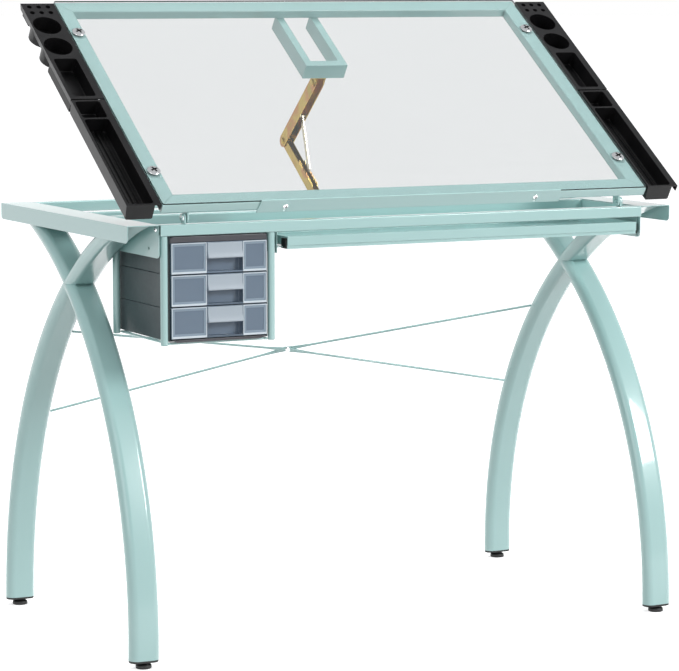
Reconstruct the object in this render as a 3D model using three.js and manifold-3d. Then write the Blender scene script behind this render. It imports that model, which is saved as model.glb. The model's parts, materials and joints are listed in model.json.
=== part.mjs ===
// Drafting table with a tilting glass top, crossed arched legs, a drawer rack and lift-off side trays.
// Millimetres, +Z up, front towards -Y, standing on the floor at z = 0.
import * as THREE from "three";
import { mergeVertices } from "three/addons/utils/BufferGeometryUtils.js";
import Module from "manifold-3d";

const wasm = await Module();
wasm.setup();

// ---- Driving dimensions ----
const GAP = 0.3; // between pieces that touch
const PIN_SIDES = 12; // facets round a small pin, bore or screw
const CENTRE_Y = 9; // puts the origin under the middle of the whole table
const OVER = 1; // how far a cutting tool runs past the face it cuts

const BASE_HALF_X = 545; // outer faces of the side channels
const BASE_HALF_Y = 305;
const BASE_Z = 765; // top of the base
const CHANNEL_W = 60;
const FLANGE_H = 30;
const SHEET = 1.5;
const RAIL = 20; // square rails of the base
const WALL = 1.5; // wall of every tube
const TUBE_CORNER = 2.5;
const SIDE_CORNER = 9; // lower corners of the side channels and plates
const PLATE_X = 485; // outer face of the side plates
const PLATE_FRONT = { y0: -300, y1: -60, z: 707, slant: 20, inset: 3 };
const PLATE_HOLE = { y: -257, z: 721.5, r: 3 }; // in the left plate only
const CROSS_RAIL_Y = -84;
const STAY_RAIL_Y = 22;

const LEG = { x: 515, w: 55, t: 30, y: -9, r: 770, z: 30, reach: 470, splay: 0.6 };
const LEG_FOOT_Z = 14; // lower end of the leg tubes
const SEAM_Z = 640; // where the two legs of a side cross

const TOP_Y = -320; // front edge of the glass top surface
const TOP_Z = 802.2;
const TILT = 34.28; // degrees
const TOP_W = 970;
const TOP_D = 603;
const GLASS_T = 3;
const GLASS_CORNER = 4;
const TOP_RAIL = { w: 30, t: 18 };
const HINGE = { x: 433, y: -298, z: 776, r: 10, earR: 8, earX: 5, pin: 3.5, head: 6.5, bore: 3.8, half: 1.5 };
const LUG = { from: 0.5, to: 24 }; // where a hinge lug meets the front rail, up the slope

const POST_R = 6.5;
const POST_WALL = 1;
const POST_FOOT = 3; // thickness of the closed foot of a post
const POST_X = [-474, -271];
const POST_Y = [-296, CROSS_RAIL_Y];
const RACK_Z = 556;
const RACK_WIRE_R = 2.5;
const CABINET = { x0: -466, x1: -279, y0: -298, y1: -77, z: [562.5, 619, 677.5, 744.4], wall: 2.5 };
const DRAWER = { w: 181, d: 205, h: 47, face: 54, faceT: 3, pitch: 55.7, z0: 567, wall: 2, play: 1 };
const GRIP = { x0: -396, x1: -328, low: 3, h: 25, d: 14, flange: 3 };

const SLIDE_TRAY = { x0: -242, x1: 474, y0: -303, y1: -60, z0: 714, z1: 736, floor: 720, wall: 1.5 };
const TRAY_LIP = { from: 2, to: 8, h: 7 }; // bent down along the front edge of the pull-out tray
const GUIDE = { start: 12, offset: 16, ledge: 14, head: 12, low: 718 };
// Side trays: the bowl hangs beside the glass, and the lip and its hook lie along the inner or outer edge.
const TRAY = {
  w: 65,
  depth: 31,
  gap: 2.25,
  wall: 2,
  deck: 2.5,
  lip: 12,
  hook: 12,
  edge: 2.4,
  lean: 4,
  skirt: 16,
};
const LOWER_TRAY = { start: -1, length: 300, cup: [248, 296], well: [4, 244], ribs: 4 };
const UPPER_TRAY = { start: 302, length: 293, compartment: [8, 121], inside: [8, 58.5], cups: [159, 223.5] };
const CUP = { x: 29.5, r: 26.5, wall: 2.5, sides: 16 };
const PEN = { x: [14, 32, 50], y: [264, 282], r: 4.75, depth: 22, sides: 8, block: [8, 58], margin: 8 };
const RIB = { first: 8, pitch: 9, w: 2.5, h: 3 };

const STAY = {
  x: 2,
  foot: { y: 49, z: 755 },
  elbow: { y: 206.5, z: 873 },
  head: { y: 74, z: 989 },
};

// ---- Materials ----
const paint = new THREE.MeshStandardMaterial({ color: 0xa9d2cd, roughness: 0.35, metalness: 0.1 });
const clearGlass = new THREE.MeshStandardMaterial({ color: 0xe6eeed, roughness: 0.05, metalness: 0 });
const blackPlastic = new THREE.MeshStandardMaterial({ color: 0x26282a, roughness: 0.5, metalness: 0 });
const greyPlastic = new THREE.MeshStandardMaterial({ color: 0x45504f, roughness: 0.55, metalness: 0 });
const clearPlastic = new THREE.MeshStandardMaterial({ color: 0x9fb0c0, roughness: 0.3, metalness: 0 });
const chrome = new THREE.MeshStandardMaterial({ color: 0xd8d8d8, roughness: 0.15, metalness: 1 });
const zinc = new THREE.MeshStandardMaterial({ color: 0xb39a55, roughness: 0.4, metalness: 0.9 });

const table = new THREE.Group();
table.position.y = CENTRE_Y;

// ---- Solids ----
function solid(geometry) {
  const bare = geometry.clone();
  bare.deleteAttribute("normal");
  bare.deleteAttribute("uv");
  const merged = mergeVertices(bare, 1e-3);
  const vertProperties = merged.attributes.position.array;
  const triVerts = new Uint32Array(merged.index.array);
  return new wasm.Manifold(new wasm.Mesh({ numProp: 3, vertProperties, triVerts }));
}

function geometryOf(body) {
  const mesh = body.getMesh();
  const geometry = new THREE.BufferGeometry();
  geometry.setAttribute("position", new THREE.BufferAttribute(mesh.vertProperties, 3));
  geometry.setIndex(new THREE.BufferAttribute(mesh.triVerts, 1));
  return geometry;
}

function box(x0, x1, y0, y1, z0, z1) {
  const geometry = new THREE.BoxGeometry(x1 - x0, y1 - y0, z1 - z0);
  geometry.translate((x0 + x1) / 2, (y0 + y1) / 2, (z0 + z1) / 2);
  return solid(geometry);
}

// A cylinder between two heights of one axis ("x", "y" or "z"), centred at a and b on the other two.
function rod(axis, a, b, from, to, r, sides = 24) {
  const geometry = new THREE.CylinderGeometry(r, r, to - from, sides);
  const middle = (from + to) / 2;
  if (axis === "x") geometry.rotateZ(Math.PI / 2).translate(middle, a, b);
  if (axis === "y") geometry.translate(a, middle, b);
  if (axis === "z") geometry.rotateX(Math.PI / 2).translate(a, b, middle);
  return solid(geometry);
}

// A cylinder along X between two heights given in either order.
function pinX(y, z, a, b, r) {
  return rod("x", y, z, Math.min(a, b), Math.max(a, b), r, PIN_SIDES);
}

function polygon(points) {
  return new THREE.Shape(points.map(([x, y]) => new THREE.Vector2(x, y)));
}

function roundedRect(w, h, r, Kind = THREE.Shape) {
  const shape = new Kind();
  shape.absarc(w / 2 - r, h / 2 - r, r, 0, Math.PI / 2);
  shape.absarc(r - w / 2, h / 2 - r, r, Math.PI / 2, Math.PI);
  shape.absarc(r - w / 2, r - h / 2, r, Math.PI, 1.5 * Math.PI);
  shape.absarc(w / 2 - r, r - h / 2, r, 1.5 * Math.PI, 2 * Math.PI);
  return shape;
}

// An outline in Y and Z, pushed out along X from x0 to x1.
function plateYZ(shape, x0, x1, segments = 6) {
  const geometry = new THREE.ExtrudeGeometry(shape, {
    depth: x1 - x0,
    bevelEnabled: false,
    curveSegments: segments,
  });
  geometry.applyMatrix4(new THREE.Matrix4().set(0, 0, 1, x0, 1, 0, 0, 0, 0, 1, 0, 0, 0, 0, 0, 1));
  return solid(geometry);
}

// A rectangular tube with rounded corners: w and h are across it, from and to along its axis.
function tube(axis, a, b, from, to, w, h) {
  const shape = roundedRect(w, h, TUBE_CORNER);
  shape.holes.push(roundedRect(w - 2 * WALL, h - 2 * WALL, TUBE_CORNER - WALL, THREE.Path));
  const geometry = new THREE.ExtrudeGeometry(shape, {
    depth: to - from,
    bevelEnabled: false,
    curveSegments: 2,
  });
  if (axis === "x") geometry.rotateX(Math.PI / 2).rotateZ(Math.PI / 2).translate(from, a, b);
  if (axis === "y") geometry.rotateX(-Math.PI / 2).translate(a, from, b);
  if (axis === "z") geometry.translate(a, b, from);
  return solid(geometry);
}

function add(parent, name, body, material) {
  const mesh = new THREE.Mesh(body.isBufferGeometry ? body : geometryOf(body), material);
  mesh.name = name;
  parent.add(mesh);
  return mesh;
}

const SIDES = [
  ["left", -1],
  ["right", 1],
];
const ENDS = [
  ["front", -1],
  ["back", 1],
];

// ---- Base frame ----
function sideChannel(side) {
  const outer = side * BASE_HALF_X;
  const inner = outer - side * CHANNEL_W;
  const flange = outer - side * SHEET;
  const [x0, x1] = [Math.min(outer, inner), Math.max(outer, inner)];
  const lip = roundedRect(2 * BASE_HALF_Y, 2 * FLANGE_H, SIDE_CORNER);
  const web = plateYZ(lip, Math.min(outer, flange), Math.max(outer, flange), 4).translate([0, 0, BASE_Z]);
  const topPlate = box(x0, x1, -BASE_HALF_Y, BASE_HALF_Y, BASE_Z - SHEET, BASE_Z);
  const end = BASE_HALF_Y + OVER;
  const above = box(x0 - OVER, x1 + OVER, -end, end, BASE_Z, BASE_Z + FLANGE_H + OVER);
  return web.subtract(above).add(topPlate);
}

function sidePlate(side) {
  const { y0, y1, z, slant } = PLATE_FRONT;
  const back = BASE_HALF_Y - PLATE_FRONT.inset;
  const top = BASE_Z - SHEET - GAP;
  const low = BASE_Z - FLANGE_H;
  const shape = new THREE.Shape();
  shape.moveTo(y0, top);
  shape.lineTo(y0, z + SIDE_CORNER);
  shape.quadraticCurveTo(y0, z, y0 + SIDE_CORNER, z);
  shape.lineTo(y1, z);
  shape.lineTo(y1 + slant, low);
  shape.lineTo(back, low);
  shape.lineTo(back, top);
  if (side < 0) {
    shape.holes.push(new THREE.Path().absarc(PLATE_HOLE.y, PLATE_HOLE.z, PLATE_HOLE.r, 0, 2 * Math.PI));
  }
  const x = side * PLATE_X;
  return plateYZ(shape, Math.min(x, x - side * SHEET), Math.max(x, x - side * SHEET));
}

function railX(y, z) {
  const half = PLATE_X - SHEET - GAP;
  return tube("x", y, z, -half, half, RAIL, RAIL);
}

const RAIL_Z = BASE_Z - RAIL / 2;
for (const [name, side] of SIDES) {
  add(table, `side_channel_${name}`, sideChannel(side), paint);
  add(table, `side_plate_${name}`, sidePlate(side), paint);
}
add(table, "front_rail", railX(RAIL / 2 - BASE_HALF_Y, RAIL_Z), paint);
add(table, "back_rail", railX(BASE_HALF_Y - RAIL / 2, RAIL_Z), paint);
add(table, "cross_rail", railX(CROSS_RAIL_Y, RAIL_Z), paint);
add(table, "stay_rail", railX(STAY_RAIL_Y, RAIL_Z), paint);

// ---- Legs: four arcs of oval tube on each side, cut and welded where they cross ----
class LegArc extends THREE.Curve {
  constructor(end) {
    super();
    this.end = end;
    this.from = Math.asin((LEG_FOOT_Z - LEG.z) / LEG.r);
    this.to = Math.asin((BASE_Z - LEG.z) / LEG.r);
  }
  getPoint(t, target = new THREE.Vector3()) {
    const angle = this.from + t * (this.to - this.from);
    const y = LEG.y + this.end * (LEG.r * Math.cos(angle) - LEG.reach);
    return target.set(0, y, LEG.z + LEG.r * Math.sin(angle));
  }
}

function oval(w, t, Kind = THREE.Shape) {
  const shape = new Kind();
  const r = t / 2;
  shape.absarc(w / 2 - r, 0, r, -Math.PI / 2, Math.PI / 2);
  shape.absarc(r - w / 2, 0, r, Math.PI / 2, 1.5 * Math.PI);
  return shape;
}

function legTube(end) {
  const shape = oval(LEG.w, LEG.t);
  shape.holes.push(oval(LEG.w - 2 * WALL, LEG.t - 2 * WALL, THREE.Path));
  const extrudePath = new LegArc(end);
  return solid(new THREE.ExtrudeGeometry(shape, { extrudePath, steps: 12, curveSegments: 4 }));
}

function legPieces(end) {
  const far = BASE_HALF_Y + LEG.w;
  const outside = [Math.min(end * far, end * GAP / 2), Math.max(end * far, end * GAP / 2)];
  const inside = [Math.min(-end * far, -end * GAP / 2), Math.max(-end * far, -end * GAP / 2)];
  const arc = legTube(end);
  const legSpace = box(-LEG.w, LEG.w, LEG.y + outside[0], LEG.y + outside[1], LEG_FOOT_Z, SEAM_Z - GAP / 2);
  const armTop = BASE_Z - SHEET - GAP;
  const armSpace = box(-LEG.w, LEG.w, LEG.y + inside[0], LEG.y + inside[1], SEAM_Z + GAP / 2, armTop);
  return [arc.intersect(legSpace), arc.intersect(armSpace)];
}

for (const [endName, end] of ENDS) {
  const [leg, arm] = legPieces(end);
  const armEnd = end < 0 ? "back" : "front";
  for (const [name, side] of SIDES) {
    const splayed = new THREE.Group();
    splayed.position.set(side * LEG.x, 0, BASE_Z);
    splayed.rotation.y = THREE.MathUtils.degToRad(-side * LEG.splay);
    splayed.updateMatrix();
    const place = splayed.matrix.clone().multiply(new THREE.Matrix4().makeTranslation(0, 0, -BASE_Z));
    add(table, `leg_${endName}_${name}`, geometryOf(leg).applyMatrix4(place), paint);
    add(table, `arm_${armEnd}_${name}`, geometryOf(arm).translate(side * LEG.x, 0, 0), paint);
  }
}

// ---- Levelling feet ----
const LEVELER = { r: 14, edge: 2, disc: 6, top: 8.5, hub: 5, hubZ: 9, stud: 4, studTop: 40 };
function leveler() {
  const { r, edge, disc, hub, stud } = LEVELER;
  const profile = [
    [0, 0],
    [r - 1, 0],
    [r, edge],
    [r, disc],
    [r - 3, LEVELER.top],
    [hub, LEVELER.hubZ],
    [hub, LEG_FOOT_Z - 2],
    [stud, LEG_FOOT_Z - 1],
    [stud, LEVELER.studTop],
    [0, LEVELER.studTop],
  ].map(([radius, z]) => new THREE.Vector2(radius, z));
  return new THREE.LatheGeometry(profile, PIN_SIDES).rotateX(Math.PI / 2);
}

const footReach = Math.sqrt(LEG.r ** 2 - (LEG.z - LEG_FOOT_Z) ** 2) - LEG.reach;
const footX = LEG.x + (BASE_Z - LEG_FOOT_Z) * Math.tan(THREE.MathUtils.degToRad(LEG.splay));
for (const [endName, end] of ENDS) {
  for (const [name, side] of SIDES) {
    const foot = add(table, `leveler_${endName}_${name}`, leveler(), blackPlastic);
    foot.position.set(side * footX, LEG.y + end * footReach, 0);
  }
}

// ---- Crossed brace rods between the back legs ----
// Each rod bends where the two are bolted together, behind the straight line between its ends.
const BRACE = {
  r: 2.2,
  apart: 1.6,
  x: LEG.x - LEG.w / 2 - GAP,
  low: 379,
  high: 541,
  hub: { y: 205, z: 469 },
};

function legBackY(z) {
  return LEG.y + Math.sqrt(LEG.r ** 2 - (z - LEG.z) ** 2) - LEG.reach;
}

function braceRod(side) {
  const offset = side * (BRACE.r + BRACE.apart);
  const low = new THREE.Vector3(-side * BRACE.x, legBackY(BRACE.low) + offset, BRACE.low);
  const middle = new THREE.Vector3(0, BRACE.hub.y + offset, BRACE.hub.z);
  const high = new THREE.Vector3(side * BRACE.x, legBackY(BRACE.high) + offset, BRACE.high);
  const path = new THREE.CatmullRomCurve3([low, middle, high], false, "catmullrom", 0.1);
  const shape = new THREE.Shape().absarc(0, 0, BRACE.r, 0, 2 * Math.PI);
  return new THREE.ExtrudeGeometry(shape, { extrudePath: path, steps: 4, curveSegments: 4 });
}
add(table, "brace_rod_rising", braceRod(1), paint);
add(table, "brace_rod_falling", braceRod(-1), paint);

// ---- Drawer rack, cabinet and drawers ----
for (const [i, endName] of ["front", "back"].entries()) {
  for (const [j, name] of ["left", "right"].entries()) {
    const top = BASE_Z - RAIL - GAP;
    const shell = rod("z", POST_X[j], POST_Y[i], RACK_Z, top, POST_R, 12);
    const bore = rod("z", POST_X[j], POST_Y[i], RACK_Z + POST_FOOT, top + OVER, POST_R - POST_WALL, 12);
    add(table, `rack_post_${endName}_${name}`, shell.subtract(bore), paint);
  }
}

function rackBase() {
  const r = RACK_WIRE_R;
  const z = RACK_Z + r + GAP;
  const [x0, x1] = [POST_X[0] + POST_R + GAP + r, POST_X[1] - POST_R - GAP - r];
  const [y0, y1] = POST_Y;
  const bars = [
    rod("y", x0, z, y0, y1, r, 8),
    rod("y", x1, z, y0, y1, r, 8),
    rod("x", y0 + 2 * r, z, x0, x1, r, 8),
    rod("x", y1 - 2 * r, z, x0, x1, r, 8),
  ];
  return bars.reduce((sum, bar) => sum.add(bar));
}
add(table, "rack_base", rackBase(), paint);

function cabinetShell(i) {
  const { x0, x1, y0, y1, z, wall } = CABINET;
  const outside = box(x0, x1, y0, y1, z[i], z[i + 1] - GAP);
  const inside = box(x0 + wall, x1 - wall, y0 - OVER, y1 - wall, z[i] + wall, z[i + 1] - GAP - wall);
  return outside.subtract(inside);
}

// A tub behind a wider face, with a finger recess under a flange.
function drawer(i) {
  const { faceT, wall, play } = DRAWER;
  const centre = (CABINET.x0 + CABINET.x1) / 2;
  const [a, b] = [centre - DRAWER.w / 2, centre + DRAWER.w / 2];
  const [tubA, tubB] = [a + wall, b - wall];
  const low = DRAWER.z0 + i * DRAWER.pitch;
  const rear = CABINET.y0 - GAP;
  const front = rear - faceT;
  const back = CABINET.y0 + DRAWER.d;
  const floor = CABINET.z[i] + CABINET.wall + play;
  const top = floor + DRAWER.h;
  const gripBack = CABINET.y0 + GRIP.d;
  const gripTop = low + GRIP.h;
  const face = box(a, b, front, rear, low, low + DRAWER.face);
  const tub = box(tubA, tubB, CABINET.y0 - OVER, back, floor, top);
  const hollow = box(tubA + wall, tubB - wall, rear, back - wall, floor + wall, top + OVER);
  const housing = box(GRIP.x0 - wall, GRIP.x1 + wall, rear, gripBack + wall, floor + OVER, gripTop + wall);
  const grip = box(GRIP.x0, GRIP.x1, front - OVER, gripBack, low + GRIP.low, gripTop);
  const edge = front - 2 * GRIP.flange;
  const flange = box(GRIP.x0, GRIP.x1, edge, front + OVER, gripTop, gripTop + GRIP.flange);
  return tub.subtract(hollow).add(face).add(housing).subtract(grip).add(flange);
}

for (const [i, level] of ["lower", "middle", "upper"].entries()) {
  add(table, `cabinet_shell_${level}`, cabinetShell(i), greyPlastic);
  add(table, `drawer_${level}`, drawer(i), clearPlastic);
}

// ---- Pull-out tray and its guides ----
function slideTray() {
  const { x0, x1, y0, y1, z0, z1, floor, wall } = SLIDE_TRAY;
  const lip = box(x0, x1, y0 + TRAY_LIP.from, y0 + TRAY_LIP.to, z0, z0 + TRAY_LIP.h);
  const outside = box(x0, x1, y0, y1, floor, z1);
  const inside = box(x0 + wall, x1 - wall, y0 + wall, y1 - wall, floor + wall, z1 + OVER);
  return outside.subtract(inside).add(lip);
}
add(table, "slide_tray", slideTray(), paint);

// A bent strip under the rails, with a ledge that the tray's edge runs on.
function trayGuide(side) {
  const top = BASE_Z - RAIL - GAP;
  const wallX = side < 0 ? SLIDE_TRAY.x0 - GUIDE.offset : PLATE_X - SHEET - GAP;
  const ledgeX = side < 0 ? SLIDE_TRAY.x0 + GUIDE.ledge : SLIDE_TRAY.x1 - GUIDE.ledge;
  const [y0, y1] = [SLIDE_TRAY.y0 + GUIDE.start, CROSS_RAIL_Y + RAIL / 2];
  const strip = (xa, xb, z0, z1) => box(Math.min(xa, xb), Math.max(xa, xb), y0, y1, z0, z1);
  const wall = strip(wallX, wallX - side * SHEET, PLATE_FRONT.z, top);
  const ledge = strip(wallX, ledgeX, GUIDE.low - SHEET, GUIDE.low);
  const head = strip(wallX, wallX - side * GUIDE.head, top - SHEET, top);
  return wall.add(ledge).add(head);
}
add(table, "tray_guide_left", trayGuide(-1), paint);
add(table, "tray_guide_right", trayGuide(1), paint);

// ---- Tilting top, built flat: x across, y up the slope, z out of the glass ----
const top = new THREE.Group();
top.position.set(0, TOP_Y, TOP_Z);
top.rotation.x = THREE.MathUtils.degToRad(TILT);
table.add(top);

const RAIL_TOP = -GLASS_T - GAP;
const RAIL_BOTTOM = RAIL_TOP - TOP_RAIL.t;

function mitredRail(axis, centre, length) {
  const { w, t } = TOP_RAIL;
  const half = length / 2;
  const inner = half - w;
  const ends = new THREE.ExtrudeGeometry(
    polygon([
      [-half, -w / 2],
      [half, -w / 2],
      [inner, w / 2],
      [-inner, w / 2],
    ]),
    { depth: t + 2 * OVER, bevelEnabled: false },
  );
  const prism = solid(ends.translate(0, 0, -OVER - t / 2));
  const body = tube("x", 0, 0, -half, half, w, t).intersect(prism);
  const turn = { front: 0, back: 180, left: -90, right: 90 }[axis];
  return body.rotate([0, 0, turn]).translate([centre[0], centre[1], RAIL_TOP - t / 2]);
}

const MITRE = 0.25;
const halfRail = TOP_RAIL.w / 2;
add(top, "top_rail_front", mitredRail("front", [0, halfRail], TOP_W - MITRE), paint);
add(top, "top_rail_back", mitredRail("back", [0, TOP_D - halfRail], TOP_W - MITRE), paint);
const sideLength = TOP_D - MITRE - GAP;
add(top, "top_rail_left", mitredRail("left", [halfRail - TOP_W / 2, TOP_D / 2], sideLength), paint);
add(top, "top_rail_right", mitredRail("right", [TOP_W / 2 - halfRail, TOP_D / 2], sideLength), paint);

const SCREW = { x: 469, y: [92, 504], bore: 4, r: 3, head: 12, rim: 1.6, high: 4 };
function glassPanel() {
  const shape = roundedRect(TOP_W, TOP_D, GLASS_CORNER);
  for (const x of [-SCREW.x, SCREW.x]) {
    for (const y of SCREW.y) {
      shape.holes.push(new THREE.Path().absarc(x, y - TOP_D / 2, SCREW.bore, 0, 2 * Math.PI));
    }
  }
  const options = { depth: GLASS_T, bevelEnabled: false, curveSegments: 3 };
  const geometry = new THREE.ExtrudeGeometry(shape, options);
  return geometry.translate(0, TOP_D / 2, -GLASS_T);
}
add(top, "glass_panel", glassPanel(), clearGlass);

function glassScrew() {
  const profile = [
    [0, -GLASS_T],
    [SCREW.r, -GLASS_T],
    [SCREW.r, GAP],
    [SCREW.head, GAP],
    [SCREW.head * 0.95, SCREW.rim],
    [SCREW.head * 0.7, SCREW.high - 1],
    [SCREW.head * 0.35, SCREW.high - 0.2],
    [0, SCREW.high],
  ].map(([r, z]) => new THREE.Vector2(r, z));
  return new THREE.LatheGeometry(profile, PIN_SIDES).rotateX(Math.PI / 2);
}
for (const [name, side] of SIDES) {
  for (const [i, endName] of ["front", "back"].entries()) {
    const screw = add(top, `glass_screw_${endName}_${name}`, glassScrew(), chrome);
    screw.position.set(side * SCREW.x, SCREW.y[i], 0);
  }
}

// ---- Bracket under the top that carries the stay ----
const BRACKET = { x0: -37, x1: 50, y0: 421, y1: 583, w: 15, h: 30 };
const bracketTop = RAIL_BOTTOM - GAP;
const bracketLow = bracketTop - BRACKET.h;
function stayBracket() {
  const { x0, x1, y0, y1, w } = BRACKET;
  const outside = box(x0, x1, y0, y1, bracketLow, bracketTop);
  return outside.subtract(box(x0 + w, x1 - w, y0 + w, y1 + OVER, bracketLow - OVER, bracketTop + OVER));
}
add(top, "stay_bracket", stayBracket(), paint);

// ---- Hinges of the top ----
// Where a point of the top, given up the slope and out of the glass, lies in the table's y and z.
function topPoint(slope, out) {
  const a = THREE.MathUtils.degToRad(TILT);
  return {
    y: TOP_Y + slope * Math.cos(a) - out * Math.sin(a),
    z: TOP_Z + slope * Math.sin(a) + out * Math.cos(a),
  };
}

function lugOutline(y, z, r, y0, y1, zEnd) {
  const shape = new THREE.Shape();
  const up = Math.sign(zEnd - z);
  shape.moveTo(y0, zEnd);
  shape.lineTo(y1, zEnd);
  shape.lineTo(y + r, z);
  shape.absarc(y, z, r, 0, Math.PI, up > 0);
  shape.closePath();
  return shape;
}

for (const [name, side] of SIDES) {
  const lugX = side * HINGE.x;
  const earX = side * (HINGE.x + HINGE.earX);
  const { y, z, earR } = HINGE;
  const ear = lugOutline(y, z, earR, y - earR, y + earR, BASE_Z + GAP);
  const pin = pinX(y, z, lugX - side * HINGE.earX, earX + side * HINGE.half, HINGE.pin);
  const head = pinX(y, z, earX + side * HINGE.half, earX + side * HINGE.earX, HINGE.head);
  const plate = plateYZ(ear, earX - HINGE.half, earX + HINGE.half, 5);
  add(table, `hinge_ear_${name}`, plate.add(pin).add(head), paint);

  const frontCorner = topPoint(LUG.from, RAIL_BOTTOM - GAP);
  const rearCorner = topPoint(LUG.to, RAIL_BOTTOM - GAP);
  const lug = new THREE.Shape();
  lug.moveTo(frontCorner.y, frontCorner.z);
  lug.lineTo(y - HINGE.r, z);
  lug.absarc(y, z, HINGE.r, Math.PI, 2 * Math.PI);
  lug.lineTo(rearCorner.y, rearCorner.z);
  const bore = pinX(y, z, lugX - HINGE.half - OVER, lugX + HINGE.half + OVER, HINGE.bore);
  const lugPlate = plateYZ(lug, lugX - HINGE.half, lugX + HINGE.half, 5);
  add(table, `hinge_lug_${name}`, lugPlate.subtract(bore), paint);
}

// ---- Folding stay: a toothed lower arm, an upper arm and a pawl that drops between the teeth ----
const ARM = { sheet: 1.5, lowerHalf: 6.3, upperHalf: 8.8, upperR: 12, pin: 4, bore: 4.3, head: 6.5 };
const RIVET = { out: 2.5, thick: 3 }; // how far a rivet head stands out, and its thickness
const FORK = { r: 9, play: 0.7, headPlay: 0.5, out: 2, clear: 20 };
const LINK_REACH = 400; // longer than any link
const TEETH = { from: 50, count: 8, pitch: 9, base: 9, height: 6 };
const PAWL = { at: [84, 6], tip: [84, 16], half: 1.5, w: 9, point: 8, nose: 1, trunnion: 3 };

function linkAngle(from, to) {
  return Math.atan2(to.z - from.z, to.y - from.y);
}

function linkLength(from, to) {
  return Math.hypot(to.y - from.y, to.z - from.z);
}

// A folded-sheet arm: u along it, v towards its open side, its two walls half a width either side of x = 0.
function channelArm(outline, half, back) {
  const body = plateYZ(outline, -half, half, 5);
  const inner = half - ARM.sheet;
  return body.subtract(box(-inner, inner, -LINK_REACH, LINK_REACH, back + ARM.sheet, LINK_REACH));
}

function lowerArm() {
  const length = linkLength(STAY.foot, STAY.elbow);
  const shape = new THREE.Shape();
  shape.absarc(0, 0, TEETH.base, Math.PI / 2, 1.5 * Math.PI);
  shape.absarc(length, 0, TEETH.base, -Math.PI / 2, Math.PI / 2);
  for (let i = TEETH.count; i > 0; i -= 1) {
    const u = TEETH.from + i * TEETH.pitch;
    shape.lineTo(u, TEETH.base);
    shape.lineTo(u - 1, TEETH.base + TEETH.height);
  }
  shape.lineTo(TEETH.from, TEETH.base);
  const across = ARM.lowerHalf + OVER;
  const bores = [0, length].map((u) => rod("x", u, 0, -across, across, ARM.bore, PIN_SIDES));
  return bores.reduce((body, bore) => body.subtract(bore), channelArm(shape, ARM.lowerHalf, -TEETH.base));
}

function upperArm() {
  const r = ARM.upperR;
  const length = linkLength(STAY.elbow, STAY.head);
  const shape = new THREE.Shape();
  shape.absarc(0, 0, r, Math.PI / 2, 1.5 * Math.PI);
  shape.absarc(length, 0, r, -Math.PI / 2, Math.PI / 2);
  const reach = ARM.upperHalf + RIVET.out;
  const pin = pinX(0, 0, -reach, reach, ARM.pin);
  const heads = [-1, 1].map((side) => pinX(0, 0, side * reach, side * (reach - RIVET.thick), ARM.head));
  return channelArm(shape, ARM.upperHalf, -r).add(pin).add(heads[0]).add(heads[1]);
}

const foldUpper = linkAngle(STAY.elbow, STAY.head);
const foldLower = linkAngle(STAY.foot, STAY.elbow);
function alongArm(start, angle, [u, v]) {
  return {
    y: start.y + u * Math.cos(angle) - v * Math.sin(angle),
    z: start.z + u * Math.sin(angle) + v * Math.cos(angle),
  };
}
const pawlPivot = alongArm(STAY.elbow, foldUpper, PAWL.at);
const pawlTip = alongArm(STAY.foot, foldLower, PAWL.tip);

function pawl() {
  const length = linkLength(pawlPivot, pawlTip);
  const shape = new THREE.Shape();
  shape.absarc(0, 0, PAWL.w / 2, Math.PI / 2, 1.5 * Math.PI);
  shape.lineTo(length - PAWL.point, -PAWL.w / 2);
  shape.lineTo(length, -PAWL.nose);
  shape.lineTo(length, PAWL.nose);
  shape.lineTo(length - PAWL.point, PAWL.w / 2);
  const reach = ARM.upperHalf - ARM.sheet - GAP;
  return plateYZ(shape, -PAWL.half, PAWL.half).add(pinX(0, 0, -reach, reach, PAWL.trunnion));
}

function placeLink(name, body, at, angle, material) {
  const mesh = add(table, name, body, material);
  mesh.position.set(STAY.x, at.y, at.z);
  mesh.rotation.x = angle;
}
placeLink("stay_lower_arm", lowerArm(), STAY.foot, foldLower, zinc);
placeLink("stay_upper_arm", upperArm(), STAY.elbow, foldUpper, zinc);
placeLink("stay_pawl", pawl(), pawlPivot, linkAngle(pawlPivot, pawlTip), chrome);

// The fork on the stay rail, with the pin that the lower arm turns on.
function stayFoot() {
  const inner = ARM.lowerHalf + FORK.play;
  const outer = inner + ARM.sheet;
  const start = STAY_RAIL_Y + RAIL / 2 + GAP;
  const { y, z } = STAY.foot;
  const outline = new THREE.Shape();
  outline.moveTo(start, z + FORK.r);
  outline.lineTo(start, z - FORK.r);
  outline.absarc(y, z, FORK.r, -Math.PI / 2, Math.PI / 2);
  const slot = box(-inner, inner, start + ARM.sheet, y + FORK.clear, z - FORK.clear, z + FORK.clear);
  const reach = outer + FORK.out;
  return plateYZ(outline, -outer, outer).subtract(slot).add(pinX(y, z, -reach, reach, ARM.pin));
}
add(table, "stay_foot", stayFoot().translate([STAY.x, 0, 0]), zinc);

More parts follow.
